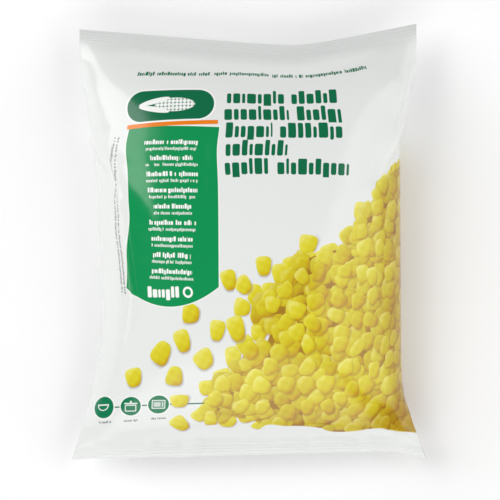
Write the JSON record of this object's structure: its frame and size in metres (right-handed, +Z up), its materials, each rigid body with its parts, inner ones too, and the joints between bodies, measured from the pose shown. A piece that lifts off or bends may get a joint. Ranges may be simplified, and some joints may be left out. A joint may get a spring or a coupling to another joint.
{
  "type": "frozen vegetable bag",
  "caption": "Sealed, filled pillow pack of white printed film with crimped end seals, bulging front and pulled-in sides, lying on its back.",
  "frame": {"origin": "on the surface that the pack rests on, at the middle of its outline's box", "axes": "+Z up, out of the printed front; +Y towards the top end seal; +X to the right as the front is read"},
  "size_m": [0.16, 0.1962, 0.0488],
  "materials": {
    "film": "white printed polyethylene film with a soft gloss, green panel and yellow corn print"
  },
  "bodies": {
    "root": {"bag": "film"}
  },
  "joints": []
}
